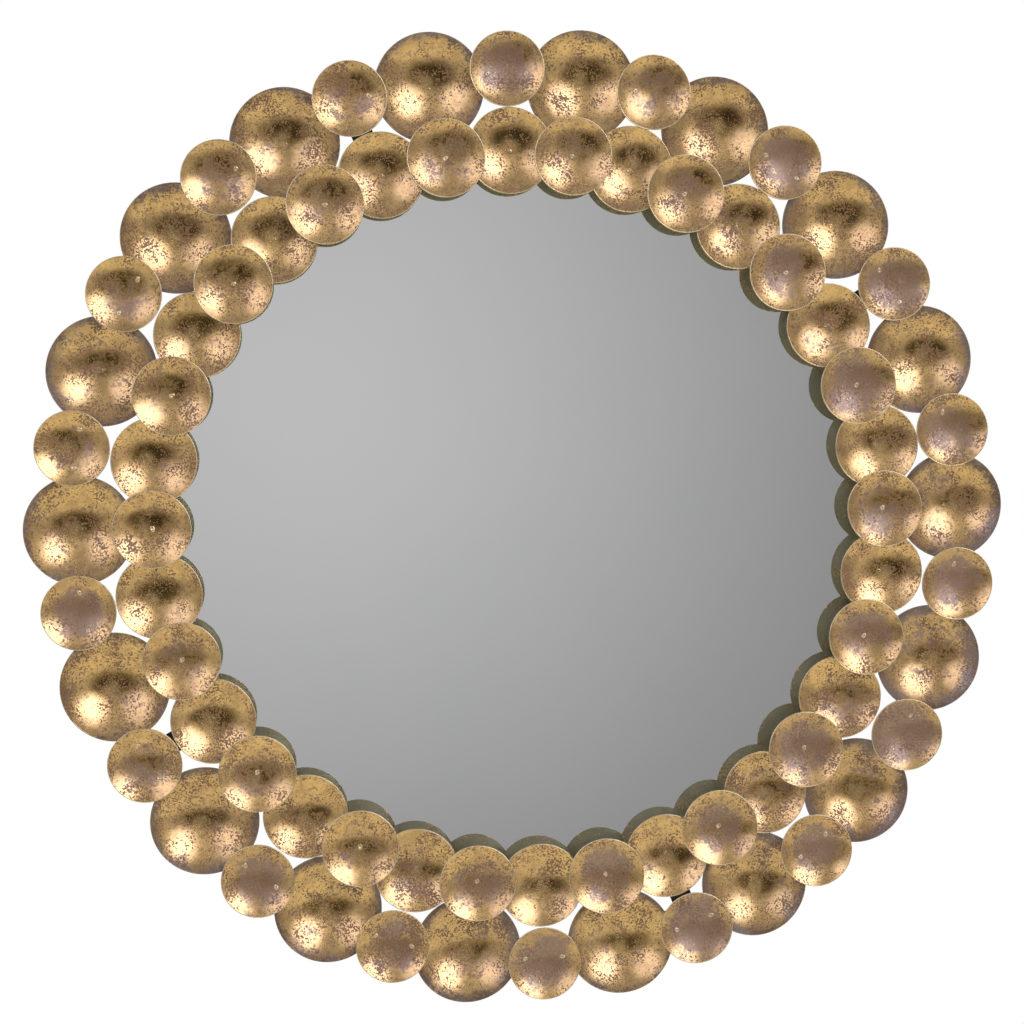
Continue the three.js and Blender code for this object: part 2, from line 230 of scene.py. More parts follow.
@dataclass(frozen=True)
class GiltLeaf(Finish):
    """Antique metal leaf on sheet iron: gold under a mauve-brown patina, worn and flecked.

    Marks on the mesh: reach runs from 0 at a cup's middle to 1 at its rim, back is 1 on
    the face that looks at the wall, worn is 1 on the crest of a weld mark, where the pale
    rubbed metal is also a painted glint, matte is how far the patina covers this cup, and
    edge is how dark its rim has gone, which is patina and painted shade.
    """

    name = "gilt leaf"
    slot = "gilt_iron"
    gold: Colour = (0.69, 0.430, 0.125)
    deep_gold: Colour = (0.44, 0.260, 0.070)
    bronze: Colour = (0.300, 0.170, 0.055)
    patina: Colour = (0.262, 0.167, 0.106)
    dark_patina: Colour = (0.095, 0.054, 0.028)
    # The two rim colours below are patina tones that also carry painted shade on the cups' rims.
    rim_shade_brown: Colour = (0.105, 0.070, 0.045)
    rim_shade_grey: Colour = (0.175, 0.138, 0.120)
    fleck: Colour = (0.165, 0.092, 0.056)
    copper: Colour = (0.56, 0.260, 0.130)
    # Pale metal on the rubbed rim and weld crests, also a painted highlight.
    pale_rim_and_glint: Colour = (0.90, 0.74, 0.44)
    back_iron: Colour = (0.290, 0.270, 0.150)

    def lay_out(self, bench: Bench) -> None:
        """Layers leaf, patina, copper, flecks, the worn rim with its painted highlight, the rim's
        painted shade and the bare back.
        """
        where = bench.place()
        reach, back, worn, matte, edge = (
            bench.mark(m) for m in ("reach", "back", "worn", "matte", "edge")
        )
        drifts = bench.noise(where, 22.0, 3.0, 0.55)
        clouds = bench.noise(where, 75.0, 4.0, 0.62)
        grain = bench.noise(where, 430.0, 4.0, 0.68)
        specks = bench.noise(where, 580.0, 2.0, 0.55)
        mottle = bench.noise(where, 240.0, 3.0, 0.6)
        sparks = bench.noise(where, 640.0, 2.0, 0.5).ease(0.60, 0.68)

        # The leaf: bright and deep gold, with tarnished patches.
        leaf = bench.blend((clouds + mottle * 0.5).ease(0.60, 0.86), self.deep_gold, self.gold)
        tarnished = (mottle * 0.55 + clouds * 0.25 + drifts * 0.20).ease(0.51, 0.60)
        leaf = bench.blend(tarnished * 0.85, leaf, self.bronze)

        # The patina: thicker on dull cups and on dark rims, where the dark rim is also painted
        # shade; thinner towards a bright rim.
        # rim_shade: a darker rim on the large cups, partly patina and partly painted shade.
        rim_shade = edge * reach.ease(0.66, 1.03)
        clean = reach.ease(0.40, 0.95) * (0.22 - edge * 0.10)
        cover = clouds * 0.55 + drifts * 0.45 + matte * 0.36 + (mottle - 0.5) * 0.32 - clean
        covered = (cover + rim_shade * 0.34 + (grain - 0.5) * 0.32).ease(0.53, 0.76)
        covered = covered * (1.0 - sparks * 0.7)
        brown = bench.blend(drifts.ease(0.40, 0.62), self.dark_patina, self.patina)
        brown = bench.blend(matte, brown, self.patina)
        # The rim's colour: dark brown and grey patina that also stands for painted shade.
        rim = bench.blend(drifts.ease(0.44, 0.56), self.rim_shade_brown, self.rim_shade_grey)
        brown = bench.blend(rim_shade, brown, rim)
        colour = bench.blend(covered, leaf, brown)

        # Copper clouds, dark flecks, and pale metal where the rim and the welds are rubbed, which
        # also paints a highlight on the thin rim and the weld crests.
        coppered = bench.noise(where, 150.0, 3.0, 0.6).ease(0.60, 0.70) * grain.ease(0.45, 0.6)
        colour = bench.blend(coppered * 0.75, colour, self.copper)
        crowd = bench.noise(where, 48.0, 2.0, 0.5)
        flecked = (specks + (crowd - 0.5) * 0.62).ease(0.562, 0.605)
        colour = bench.blend(flecked * 0.9, colour, self.fleck)
        # rubbed: the rim and weld crests, pale from wear and as a painted highlight.
        rubbed = (reach.ease(0.960, 0.985) * (1.0 - edge)).at_least(worn) * grain.ease(0.25, 0.45)
        colour = bench.blend(rubbed * 0.9, colour, self.pale_rim_and_glint)

        # The back: bare iron with stray leaf.
        glints = (specks + (crowd - 0.5) * 0.6).ease(0.62, 0.68)
        behind = bench.blend(glints * 0.9, self.back_iron, self.gold)
        colour = bench.blend(back, colour, behind)

        dull = (covered * 0.60).at_least(flecked * 0.95) * (1.0 - rubbed)
        iron = back * (1.0 - glints)
        height = grain * 0.8 + clouds * 0.4 - flecked * 0.6
        bench.finish_surface(
            Base_Color=colour,
            Metallic=1.0 - dull * 0.85 - iron * 0.5,
            Roughness=0.17 + dull * 0.32 + clouds * 0.10 + iron * 0.25,
            Specular_IOR_Level=0.3,
            Coat_Weight=(1.0 - dull) * (1.0 - back),
            Coat_IOR=1.75,
            Coat_Roughness=0.17,
            Normal=bench.bump(height, 0.00014, 0.5),
        )


@dataclass(frozen=True)
class SilveredGlass(Finish):
    """Plain silvered glass, with the faintest haze where it was wiped."""

    name = "silvered glass"
    slot = "mirror_glass"
    silver: Colour = (0.905, 0.905, 0.905)
    haze: Colour = (0.885, 0.887, 0.890)

    def lay_out(self, bench: Bench) -> None:
        """A mirror whose colour and gloss drift very slightly."""
        wiped = bench.noise(bench.place(), 5.0, 3.0, 0.6).ease(0.35, 0.75)
        bench.finish_surface(
            Base_Color=bench.blend(wiped, self.silver, self.haze),
            Metallic=1.0,
            Roughness=wiped * 0.008 + 0.004,
        )


@dataclass(frozen=True)
class BlackSteel(Finish):
    """Flat black paint over mill steel, thin and brown where it has rubbed."""

    name = "black steel"
    slot = "black_steel"
    paint: Colour = (0.022, 0.020, 0.018)
    rubbed: Colour = (0.070, 0.050, 0.034)

    def lay_out(self, bench: Bench) -> None:
        """Orange-peel paint with rubbed clouds."""
        where = bench.place()
        rubs = bench.noise(where, 60.0, 5.0, 0.65).ease(0.52, 0.70)
        peel = bench.noise(where, 900.0, 2.0, 0.5)
        bench.finish_surface(
            Base_Color=bench.blend(rubs * 0.7, self.paint, self.rubbed),
            Metallic=rubs * 0.35,
            Roughness=0.50 + peel * 0.14 - rubs * 0.08,
            Normal=bench.bump(peel, 0.00008, 0.5),
        )


@dataclass(frozen=True)
class Fibreboard(Finish):
    """Brown hardboard: felted fibres over soft blotches."""

    name = "fibreboard"
    slot = "backing_board"
    light: Colour = (0.34, 0.215, 0.125)
    dark: Colour = (0.20, 0.120, 0.066)

    def lay_out(self, bench: Bench) -> None:
        """Fibres are noise stretched one way, crossed by noise stretched the other."""
        where = bench.place()
        along, across = (
            bench.out("ShaderNodeMapping", "Vector", {}, {"Vector": where, "Scale": stretch})
            for stretch in ((1.0, 1.0, 0.16), (0.16, 1.0, 1.0))
        )
        felt = bench.noise(along, 900.0, 3.0) * 0.5 + bench.noise(across, 900.0, 3.0) * 0.5
        blotch = bench.noise(where, 18.0, 4.0, 0.6)
        shade = (felt * 0.6 + blotch * 0.4).ease(0.36, 0.64)
        bench.finish_surface(
            Base_Color=bench.blend(shade, self.dark, self.light),
            Roughness=0.74 + felt * 0.14,
            Normal=bench.bump(felt, 0.00025, 0.5),
        )


@dataclass(frozen=True)
class ZincPlate(Finish):
    """Bright zinc over pressed steel, with a faint yellow passivation and scratches."""

    name = "zinc plate"
    slot = "zinc_steel"
    zinc: Colour = (0.62, 0.62, 0.61)
    passivated: Colour = (0.58, 0.55, 0.44)

    def lay_out(self, bench: Bench) -> None:
        """Fine scratches over soft patches of colour."""
        where = bench.place()
        fine = {"Vector": where, "Scale": (1.0, 1.0, 0.08)}
        scratches = bench.noise(bench.out("ShaderNodeMapping", "Vector", {}, fine), 2600.0)
        patches = bench.noise(where, 140.0, 3.0)
        bench.finish_surface(
            Base_Color=bench.blend(patches.ease(0.4, 0.65), self.zinc, self.passivated),
            Metallic=1.0,
            Roughness=0.26 + scratches * 0.16,
            Normal=bench.bump(scratches, 0.00004, 0.5),
        )


@dataclass(frozen=True)
class MouldedRubber(Finish):
    """Matte black rubber with mould grain and a little dust."""

    name = "moulded rubber"
    slot = "rubber"
    rubber: Colour = (0.020, 0.020, 0.021)
    dusty: Colour = (0.060, 0.058, 0.055)

    def lay_out(self, bench: Bench) -> None:
        """Grain from scattered points, and dust in clouds."""
        where = bench.place()
        grain = bench.cells(where, 1400.0)
        dust = bench.noise(where, 260.0, 4.0, 0.6).ease(0.5, 0.75)
        bench.finish_surface(
            Base_Color=bench.blend(dust * 0.6, self.rubber, self.dusty),
            Roughness=0.72 + dust * 0.15,
            Normal=bench.bump(grain, 0.0001, 0.4),
        )


# ---------------------------------------------------------------- surfaces


@dataclass
class Skin:
    """A closed surface as arrays: its points, its faces and the marks at its points."""

    points: np.ndarray
    faces: list[list[int]]
    marks: dict[str, np.ndarray] = field(default_factory=dict)

    def enclosed(self) -> float:
        """The volume inside: the sum over the faces' triangles of a . (b x c) / 6."""
        corners = [(f[0], f[i], f[i + 1]) for f in self.faces for i in range(1, len(f) - 1)]
        a, b, c = (self.points[index] for index in np.array(corners).T)
        return float(np.einsum("ij,ij->", a, np.cross(b, c)) / 6)

    def facing_out(self) -> Skin:
        """The same skin with its faces pointing outwards."""
        if self.enclosed() < 0:
            self.faces = [face[::-1] for face in self.faces]
        return self

    def __add__(self, other: Skin) -> Skin:
        """The two skins as one; a mark that one lacks is 0 there."""
        shift = len(self.points)
        faces = self.faces + [[i + shift for i in face] for face in other.faces]
        names = set(self.marks) | set(other.marks)
        marks = {
            name: np.concatenate(
                [
                    self.marks.get(name, np.zeros(shift)),
                    other.marks.get(name, np.zeros(len(other.points))),
                ]
            )
            for name in names
        }
        return Skin(np.concatenate([self.points, other.points]), faces, marks)


def closed_grid_faces(rows: int, columns: int, loops: bool) -> np.ndarray:
    """The quads of a grid that closes on itself from its last column to its first.

    Args:
        rows: The number of rows of points.
        columns: The number of points in a row.
        loops: Whether the last row also joins the first.

    Returns:
        One row of four point numbers for each quad.
    """
    row = np.arange(rows if loops else rows - 1)[:, None]
    column = np.arange(columns)[None, :]
    below, beside = (row + 1) % rows, (column + 1) % columns
    corners = [
        row * columns + column,
        row * columns + beside,
        below * columns + beside,
        below * columns + column,
    ]
    return np.stack([c.reshape(-1) for c in corners], axis=-1)


def turned(
    profile: np.ndarray, sides: int, row_marks: dict[str, np.ndarray] | None = None
) -> Skin:
    """A turned body about the Y axis.

    The point at angle a of a profile point (r, lift) is (r sin a, -lift, r cos a). A profile
    that starts or ends on the axis closes there in one point; any other closes on itself.

    Args:
        profile: Rows of (radius, lift), in order round the section.
        sides: The number of steps round the axis.
        row_marks: The marks of each profile point.

    Returns:
        The body's skin, with its faces outwards.
    """
    angle = np.linspace(0, 2 * np.pi, sides, endpoint=False)
    radius, lift = profile[:, :1], profile[:, 1:]
    depth = np.broadcast_to(-lift, (len(profile), sides))
    grid = np.stack([radius * np.sin(angle), depth, radius * np.cos(angle)], axis=-1)
    marks = {k: np.repeat(v, sides) for k, v in (row_marks or {}).items()}
    poles = [end for end in (0, -1) if profile[end, 0] < 1e-9]
    if not poles:
        faces = closed_grid_faces(len(profile), sides, True).tolist()
        return Skin(grid.reshape(-1, 3), faces, marks).facing_out()
    inner = grid[1:-1].reshape(-1, 3)
    faces = closed_grid_faces(len(profile) - 2, sides, False).tolist()
    first, last = len(inner), len(inner) + 1
    ring = np.arange(sides)
    after = (ring + 1) % sides
    foot = (len(profile) - 3) * sides
    faces += np.stack([after, ring, np.full(sides, first)], axis=-1).tolist()
    faces += np.stack([foot + ring, foot + after, np.full(sides, last)], axis=-1).tolist()
    points = np.concatenate([inner, grid[0, :1], grid[-1, :1]])
    marks = {k: np.concatenate([v[sides:-sides], v[:1], v[-1:]]) for k, v in marks.items()}
    return Skin(points, faces, marks).facing_out()


def rounded(corners: list[tuple[float, float]], radius: float, steps: int = 4) -> np.ndarray:
    """A closed section with its corners rounded.

    Each corner is swapped for a quadratic curve whose ends lie a radius away along the two
    edges and whose control point is the corner: (1-t)^2 a + 2t(1-t) c + t^2 b.

    Args:
        corners: The section's corners, in order.
        radius: How far along each edge the rounding starts.
        steps: The number of steps in each corner.

    Returns:
        The rounded section's points.
    """
    sharp = np.array(corners)
    to_last = np.roll(sharp, 1, axis=0) - sharp
    to_next = np.roll(sharp, -1, axis=0) - sharp
    start = sharp + radius * to_last / np.linalg.norm(to_last, axis=1, keepdims=True)
    end = sharp + radius * to_next / np.linalg.norm(to_next, axis=1, keepdims=True)
    t = np.linspace(0, 1, steps + 1)[None, :, None]
    curve = (1 - t) ** 2 * start[:, None] + 2 * t * (1 - t) * sharp[:, None] + t**2 * end[:, None]
    return curve.reshape(-1, 2)


def tube_round(path: np.ndarray, radius: float, sides: int) -> Skin:
    """A round wire along a closed path that lies in a plane of constant y.

    The wire's circle at a path point is spanned by the Y axis and by the path's normal in
    its plane, which is its tangent turned a quarter.

    Args:
        path: The wire's centre line, rows of (x, y, z), without repeating the first.
        radius: The wire's radius.
        sides: The number of steps round the wire.

    Returns:
        The wire's skin, with its faces outwards.
    """
    tangent = np.roll(path, -1, axis=0) - np.roll(path, 1, axis=0)
    tangent /= np.linalg.norm(tangent, axis=1, keepdims=True)
    beside = np.stack([-tangent[:, 2], np.zeros(len(path)), tangent[:, 0]], axis=-1)
    angle = np.linspace(0, 2 * np.pi, sides, endpoint=False)[None, :, None]
    depth = np.array([0.0, 1.0, 0.0])
    circle = radius * (np.cos(angle) * beside[:, None] + np.sin(angle) * depth)
    points = (path[:, None] + circle).reshape(-1, 3)
    return Skin(points, closed_grid_faces(len(path), sides, True).tolist()).facing_out()


def make_piece(name: str, skin: Skin, finish: Finish, body: str, node: str) -> None:
    """Makes a piece of the object, dressed, on its body and standing for its CAD node.

    Args:
        name: The piece's name.
        skin: Its surface, in the row frame.
        finish: What it is finished in.
        body: The CAD body that it moves with.
        node: The CAD node that it stands for.
    """
    mesh = bpy.data.meshes.new(name)
    mesh.from_pydata(skin.points.tolist(), [], skin.faces)
    for mark, values in skin.marks.items():
        kept = mesh.attributes.new(mark, "FLOAT", "POINT")
        kept.data.foreach_set("value", values.astype(np.float32))
    mesh.polygons.foreach_set("use_smooth", np.ones(len(mesh.polygons), bool))
    mesh.update()
    mesh.materials.append(finish.material())
    piece = bpy.data.objects.new(name, mesh)
    bpy.context.scene.collection.objects.link(piece)
    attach(piece, body)
    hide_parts(node)
    log.info("%s: %d points, for %s", name, len(skin.points), node)


def dress_nodes(nodes: dict[str, bpy.types.Object], names: list[str], finish: Finish) -> None:
    """Gives carried-over CAD nodes their finish."""
    for name in names:
        mesh = nodes[name].data
        mesh.materials.clear()
        mesh.materials.append(finish.material())
        log.info("%s: carried over in %s", name, finish.name)


# ---------------------------------------------------------------- the wreath


@dataclass(frozen=True)
class Dish:
    """A pressed cup: a spherical dish with a rounded rim."""

    radius: float
    height: float
    sheet: float = 0.0012
    sides: int = 96
    front_rows: int = 25
    rim_rows: int = 7

    @property
    def sphere(self) -> float:
        """The radius of the back's sphere: (r^2 + h^2) / 2h."""
        return (self.radius**2 + self.height**2) / (2 * self.height)

    def front_lift(self, distance: np.ndarray | float) -> np.ndarray:
        """The front face's lift over the back's middle at a distance from the axis."""
        return self.sphere - np.sqrt((self.sphere - self.sheet) ** 2 - np.square(distance))

    def profile(self) -> tuple[np.ndarray, dict[str, np.ndarray]]:
        """The section from the front's middle over the rim to the back's middle.

        The front and back are arcs about one centre, and a half circle as wide as the
        sheet joins them at the rim.

        Returns:
            Rows of (radius, lift), and the reach and back marks of each.
        """
        half = self.sheet / 2
        middle = self.sphere - half
        edge = math.asin((self.radius - half) / self.sphere)
        eased = np.sin(np.linspace(0, math.pi / 2, self.front_rows)) * edge
        wrap = np.linspace(0, math.pi, self.rim_rows + 2)[1:-1]
        front_arc = np.stack([eased, np.full_like(eased, self.sphere - self.sheet)], axis=-1)
        back_arc = np.stack([eased[::-2], np.full_like(eased[::-2], self.sphere)], axis=-1)
        arcs = [
            np.stack([a[:, 1] * np.sin(a[:, 0]), self.sphere - a[:, 1] * np.cos(a[:, 0])], -1)
            for a in (front_arc, back_arc)
        ]
        along = np.array([math.cos(edge), math.sin(edge)])
        inward = np.array([-math.sin(edge), math.cos(edge)])
        centre = np.array([middle * math.sin(edge), self.sphere - middle * math.cos(edge)])
        rim = centre + half * (np.cos(wrap)[:, None] * inward + np.sin(wrap)[:, None] * along)
        section = np.concatenate([arcs[0], rim, arcs[1]])
        turn = np.linspace(0, 1, self.rim_rows)
        back = np.concatenate([np.zeros(len(front_arc)), turn, np.ones(len(back_arc))])
        return section, {"reach": section[:, 0] / self.radius, "back": back}


class Ring(Enum):
    """The four rings of cups, from the wall outwards, and how each has aged."""

    LARGE = ("large_cup", 0.05, 1.0, 0.00015)
    MEDIUM = ("medium_cup", 0.10, 0.30, 0.00015)
    OUTER_SMALL = ("outer_small_cup", 0.66, 0.0, 0.00060)
    INNER_SMALL = ("inner_small_cup", 0.50, 0.0, 0.00050)

    def __init__(self, label: str, matte: float, edge: float, weld_height: float) -> None:
        """Keeps the pieces' name, their patina, their dark edge of patina and painted shade, and
        their weld marks' height.
        """
        self.label = label
        self.matte = matte
        self.edge = edge
        self.weld_height = weld_height


DISHES = {
    Ring.LARGE: Dish(0.0507, 0.0190),
    Ring.MEDIUM: Dish(0.0398, 0.0116),
    Ring.OUTER_SMALL: Dish(0.0347, 0.0090),
    Ring.INNER_SMALL: Dish(0.0362, 0.0092),
}


@dataclass(frozen=True)
class Wave:
    """One wave round the wreath: its crests, its height and where one crest is."""

    crests: int
    height: float
    crest_deg: float

    def at(self, around: float) -> float:
        """Its height at an angle round the wreath."""
        return self.height * math.cos(self.crests * (around - math.radians(self.crest_deg)))


@dataclass
class Wreath:
    """The 72 cups and how they lie: even stations, drawn out of place by slow waves."""

    stations: int = 18
    medium_ring: float = 0.3421
    rim_space: float = 0.0014
    outer_small_offset: float = 0.0157
    inner_small_offset: float = 0.0036
    pitch_waves: tuple[Wave, ...] = (
        Wave(2, 1.28, -67.4),
        Wave(4, 0.32, 12.8),
        Wave(5, 0.23, -7.7),
        Wave(6, 0.39, 6.5),
    )
    roundness_waves: tuple[Wave, ...] = (Wave(1, 0.0099, -158.4), Wave(2, 0.0089, -43.7))
    large_rim_lift: float = 0.0306
    medium_rim_lift: float = 0.0366
    lip_lift: float = 0.0222
    weld_radius: float = 0.0027
    weld_sink: float = 0.0005  # how deep a weld mark's underside lies in the sheet
    bright_weld: float = 0.0012  # a mark as high as this gets the palest crest: rubbed metal and a painted glint
    furthest_weld: float = 0.018
    stud_radius: float = 0.0025
    stud_sink: float = 0.0006  # how deep a stud's end lies in the cup's sheet
    wave_lengths: tuple[float, float] = (0.030, 0.060)
    wave_heights: tuple[float, float] = (0.00005, 0.00012)
    tilt_deg: float = 0.9
    most_tilt_deg: float = 0.5
    most_front_tilt_deg: float = 0.4  # keeps the front cups within the part's depth
    matte_spread: float = 0.13
    dullest_way_deg: float = 130.0
    dulling: float = 0.24
    leaf: GiltLeaf = GiltLeaf()

    def ring_radius(self, ring: Ring) -> float:
        """The radius of a ring's circle, before the waves."""
        half = math.pi / self.stations
        reach = DISHES[Ring.LARGE].radius + DISHES[Ring.MEDIUM].radius + self.rim_space
        medium = self.medium_ring
        large = medium * math.cos(half) + math.sqrt(reach**2 - (medium * math.sin(half)) ** 2)
        return {
            Ring.LARGE: large,
            Ring.MEDIUM: medium,
            Ring.OUTER_SMALL: large * math.cos(half) + self.outer_small_offset,
            Ring.INNER_SMALL: medium * math.cos(half) + self.inner_small_offset,
        }[ring]

    def middle(self, ring: Ring, number: int) -> np.ndarray:
        """The (x, z) of a cup's middle; large and inner small cups lie between stations."""
        between = 0.5 if ring in (Ring.LARGE, Ring.INNER_SMALL) else 0.0
        even = (number - between) * 2 * math.pi / self.stations
        angle = even + math.radians(sum(wave.at(even) for wave in self.pitch_waves))
        out_of_round = sum(wave.at(even) for wave in self.roundness_waves)
        radius = self.ring_radius(ring) * (1 + out_of_round)
        return np.array([radius * math.sin(angle), radius * math.cos(angle)])

    def wobble(self, points: np.ndarray, dish: Dish, rng: np.random.Generator) -> np.ndarray:
        """Small unevenness of a hand-finished pressing.

        The lift gains three sine waves across the face, and the outline a cosine of two
        and one of three crests, each scaled by the distance from the axis.

        Args:
            points: The cup's points about its own axis.
            dish: The cup's shape; not used.
            rng: The source of this cup's chances.

        Returns:
            The points, moved.
        """
        moved = points.copy()
        turns, phases = rng.uniform(0, 2 * np.pi, 3), rng.uniform(0, 2 * np.pi, 3)
        lengths = rng.uniform(*self.wave_lengths, 3)
        heights = rng.uniform(*self.wave_heights, 3)
        across = np.outer(points[:, 0], np.cos(turns)) + np.outer(points[:, 2], np.sin(turns))
        moved[:, 1] -= (heights * np.sin(2 * np.pi * across / lengths + phases)).sum(axis=1)
        angle = np.arctan2(points[:, 0], points[:, 2])
        swell = 1 + 0.0035 * np.cos(2 * angle + phases[0]) + 0.002 * np.cos(3 * angle + phases[1])
        moved[:, (0, 2)] *= swell[:, None]
        return moved

    def weld(self, ring: Ring, x: float, z: float, rng: np.random.Generator) -> Skin:
        """A spot weld's mark on a cup's front, at x and z from its middle.

        Its height over the front at a share s of its radius is a crater's wall,
        h exp(-(3 (s - 1/2))^2), which sinks under the face towards its edge. The wall is
        higher on one side, and the mark is a little out of round. Its underside lies in
        the sheet.

        Args:
            ring: The ring that the cup is in.
            x: How far to the right of the cup's middle it is.
            z: How far above the cup's middle it is.
            rng: The source of this mark's chances.

        Returns:
            The mark's skin.
        """
        dish = DISHES[ring]
        steps = np.linspace(0, 1, 11)
        wall = np.exp(-((3 * (steps - 0.5)) ** 2))
        over = wall * ring.weld_height - 0.0001 * steps
        profile = np.stack([steps * self.weld_radius, over], axis=-1)
        base = steps[::-5] * self.weld_radius
        under = np.stack([base, np.full_like(base, -self.weld_sink)], axis=-1)
        worn = np.concatenate([wall, np.zeros_like(base)])
        mark = turned(np.concatenate([profile, under]), 24, {"worn": worn})
        angle = np.arctan2(mark.points[:, 0], mark.points[:, 2]) - rng.uniform(0, 2 * np.pi)
        raised = mark.points[:, 1] < 0
        mark.points[raised, 1] *= (1 + 0.45 * np.cos(angle))[raised]
        mark.points[:, (0, 2)] *= (1 + 0.14 * np.cos(2 * angle))[:, None]
        mark.points[:, 0] += x
        mark.points[:, 2] += z
        distance = np.hypot(mark.points[:, 0], mark.points[:, 2])
        mark.points[:, 1] -= dish.front_lift(distance)
        mark.marks["reach"] = distance / dish.radius
        # The crest's pale colour, rubbed metal and a painted glint, is as strong as the mark is
        # high.
        mark.marks["worn"] *= ring.weld_height / self.bright_weld
        return mark

    def build_cup(
        self, ring: Ring, number: int, rim_lift: float, welds: list[np.ndarray], node: str
    ) -> None:
        """One cup with its weld marks.

        Args:
            ring: The ring that it is in.
            number: Its number in the ring, from 0.
            rim_lift: The lift of its rim.
            welds: Where its weld marks are, as (x, z) from its middle.
            node: The CAD node that it stands for, with the other cup of the pair.
        """
        dish = DISHES[ring]
        rng = np.random.default_rng([list(Ring).index(ring), number, 7])
        profile, marks = dish.profile()
        skin = turned(profile, dish.sides, marks)
        for x, z in welds:
            skin = skin + self.weld(ring, x, z, rng)
        skin.points = self.wobble(skin.points, dish, rng)
        if ring in (Ring.MEDIUM, Ring.INNER_SMALL):
            skin = skin + self.stud(rim_lift - dish.height)
        most = self.most_front_tilt_deg if ring is Ring.INNER_SMALL else self.most_tilt_deg
        tilt = np.radians(np.clip(rng.normal(0.0, self.tilt_deg, 2), -most, most))
        lean = np.array(Matrix.Rotation(tilt[0], 3, "X") @ Matrix.Rotation(tilt[1], 3, "Z"))
        skin.points = skin.points @ lean.T
        x, z = self.middle(ring, number)
        skin.points += np.array([x, dish.height - rim_lift, z])
        towards_dull = math.cos(math.atan2(x, z) - math.radians(self.dullest_way_deg))
        matte = rng.normal(ring.matte + self.dulling * towards_dull, self.matte_spread)
        skin.marks["matte"] = np.full(len(skin.points), np.clip(matte, 0, 1))
        skin.marks["edge"] = np.full(len(skin.points), ring.edge)
        name = f"{ring.label}_{number + 1:02d}"
        make_piece(name, skin, self.leaf, FIXED_BODY, node)

    def stud(self, apex_lift: float) -> Skin:
        """The stud behind a cup of the inner rings, from the frame's lip, flared at both welds."""
        length = apex_lift - self.lip_lift
        steps = np.linspace(0, 1, 9)
        flare = 1 + 0.5 * np.exp(-steps / 0.12) + 0.6 * np.exp(-(1 - steps) / 0.12)
        lifts = steps * (length + self.stud_sink) - length
        side = np.stack([flare * self.stud_radius, lifts], axis=-1)
        profile = np.concatenate([[[0.0, -length]], side, [[0.0, self.stud_sink]]])
        post = turned(profile, 20)
        post.marks = {"back": np.ones(len(post.points))}
        return post

    def build(self) -> None:
        """Makes the cups pair by pair; a small cup's rim is its CAD node's front."""
        for k in range(self.stations):
            node = f"outer_cup_pair_{k + 1:02d}"
            small = self.middle(Ring.OUTER_SMALL, k)
            beneath = [self.middle(Ring.LARGE, k), self.middle(Ring.LARGE, k + 1)]
            self.build_cup(Ring.LARGE, k, self.large_rim_lift, [np.zeros(2)], node)
            rim = -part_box(node)[0].y
            marks = [self.over_rim(small, cup) for cup in beneath]
            self.build_cup(Ring.OUTER_SMALL, k, rim, marks, node)
        for k in range(self.stations):
            node = f"inner_cup_pair_{k + 1:02d}"
            self.build_cup(Ring.MEDIUM, k, self.medium_rim_lift, [np.zeros(2)], node)
            rim = -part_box(node)[0].y
            self.build_cup(Ring.INNER_SMALL, k, rim, [np.zeros(2)], node)

    def over_rim(self, small: np.ndarray, large: np.ndarray) -> np.ndarray:
        """Where a small cup crosses a large cup's rim, from the small cup's middle."""
        towards = large - small
        span = float(np.linalg.norm(towards))
        return towards * min(span - DISHES[Ring.LARGE].radius, self.furthest_weld) / span


# ---------------------------------------------------------------- what carries the wreath


